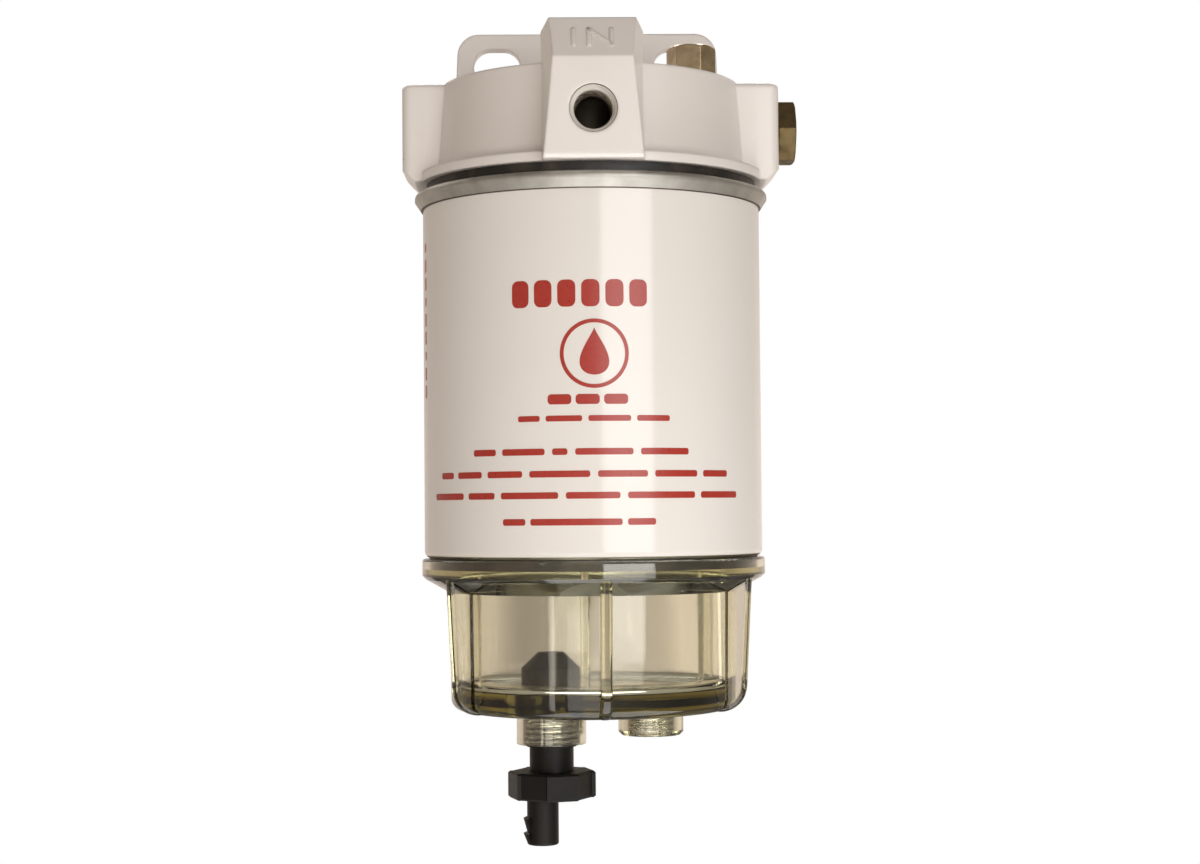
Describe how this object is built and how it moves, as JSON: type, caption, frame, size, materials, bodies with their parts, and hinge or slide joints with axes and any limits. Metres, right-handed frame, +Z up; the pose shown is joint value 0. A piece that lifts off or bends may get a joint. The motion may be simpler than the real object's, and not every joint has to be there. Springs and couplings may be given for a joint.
{
  "type": "fuel filter water separator",
  "caption": "Spin-on diesel fuel filter and water separator: ported cast head with slotted wall bracket, painted steel can, clear ribbed bowl and screw drain valve.",
  "frame": {"origin": "middle of the bracket's pattern of two slots, on the bracket's back face", "axes": "+Z up along the filter's axis, +Y out of the bracket's back towards the wall, +X to the right seen from the front"},
  "size_m": [0.1081, 0.1015, 0.2332],
  "materials": {
    "white_casting": "die-cast aluminium under smooth white paint, edges softened by the paint",
    "white_can": "drawn steel under glossy white paint",
    "galvanised_steel": "bare galvanised sheet, dull with fine rolling marks",
    "plated_steel": "zinc-plated steel, satin",
    "brass": "turned brass, slightly dulled",
    "black_rubber": "black nitrile rubber, matte",
    "filter_paper": "resin-treated pleated filter paper",
    "clear_plastic": "clear moulded plastic with a faint olive tint",
    "black_plastic": "black moulded nylon, satin"
  },
  "bodies": {
    "head": {"head_casting": "white_casting", "centre_stud": "plated_steel", "port_plug": "brass"},
    "can_travel": {"head_gasket": "black_rubber"},
    "can": {"can_shell": "white_can", "can_lid": "galvanised_steel", "tapping_plate": "plated_steel", "element_grommet": "black_rubber", "upper_end_cap": "plated_steel", "pleated_media": "filter_paper", "centre_tube": "plated_steel", "lower_end_cap": "plated_steel", "element_support": "plated_steel", "bowl_thread_ring": "plated_steel"},
    "bowl_travel": {"bowl_gasket": "black_rubber"},
    "bowl": {"bowl": "clear_plastic"},
    "drain_travel": {"drain_stem_ring": "black_rubber"},
    "drain": {"drain_stem": "black_plastic", "drain_cap": "black_plastic", "drain_seat_ring": "black_rubber"},
    "vent_travel": {"vent_washer": "black_rubber"},
    "vent": {"vent_plug": "brass"}
  },
  "joints": [
    {"name": "can_lower", "type": "slide", "parent": "head", "child": "can_travel", "axis": [0, 0, -1], "range_m": [0, 0.00726]},
    {"name": "can_unscrew", "type": "hinge", "parent": "can_travel", "child": "can", "pos_m": [0, -0.0505, -0.0507], "axis": [0, 0, -1], "range_deg": [0, 1440]},
    {"name": "bowl_lower", "type": "slide", "parent": "can", "child": "bowl_travel", "axis": [0, 0, -1], "range_m": [0, 0.0075]},
    {"name": "bowl_unscrew", "type": "hinge", "parent": "bowl_travel", "child": "bowl", "pos_m": [0, -0.0505, -0.1488], "axis": [0, 0, -1], "range_deg": [0, 900]},
    {"name": "drain_rise", "type": "slide", "parent": "bowl", "child": "drain_travel", "axis": [0, 0, 1], "range_m": [0, 0.00375]},
    {"name": "drain_turn", "type": "hinge", "parent": "drain_travel", "child": "drain", "pos_m": [-0.012, -0.05721, -0.1814], "axis": [0, 0, 1], "range_deg": [0, 900]},
    {"name": "vent_rise", "type": "slide", "parent": "head", "child": "vent_travel", "axis": [0, 0, 1], "range_m": [0, 0.00282]},
    {"name": "vent_unscrew", "type": "hinge", "parent": "vent_travel", "child": "vent", "pos_m": [0.0288, -0.042, -0.0126], "axis": [0, 0, 1], "range_deg": [0, 1080]}
  ],
  "couplings": [
    {"joint": "can_lower", "follows": "can_unscrew", "m_per_rad": 0.00028871},
    {"joint": "bowl_lower", "follows": "bowl_unscrew", "m_per_rad": 0.00047746},
    {"joint": "drain_rise", "follows": "drain_turn", "m_per_rad": 0.00023873},
    {"joint": "vent_rise", "follows": "vent_unscrew", "m_per_rad": 0.00014977}
  ]
}
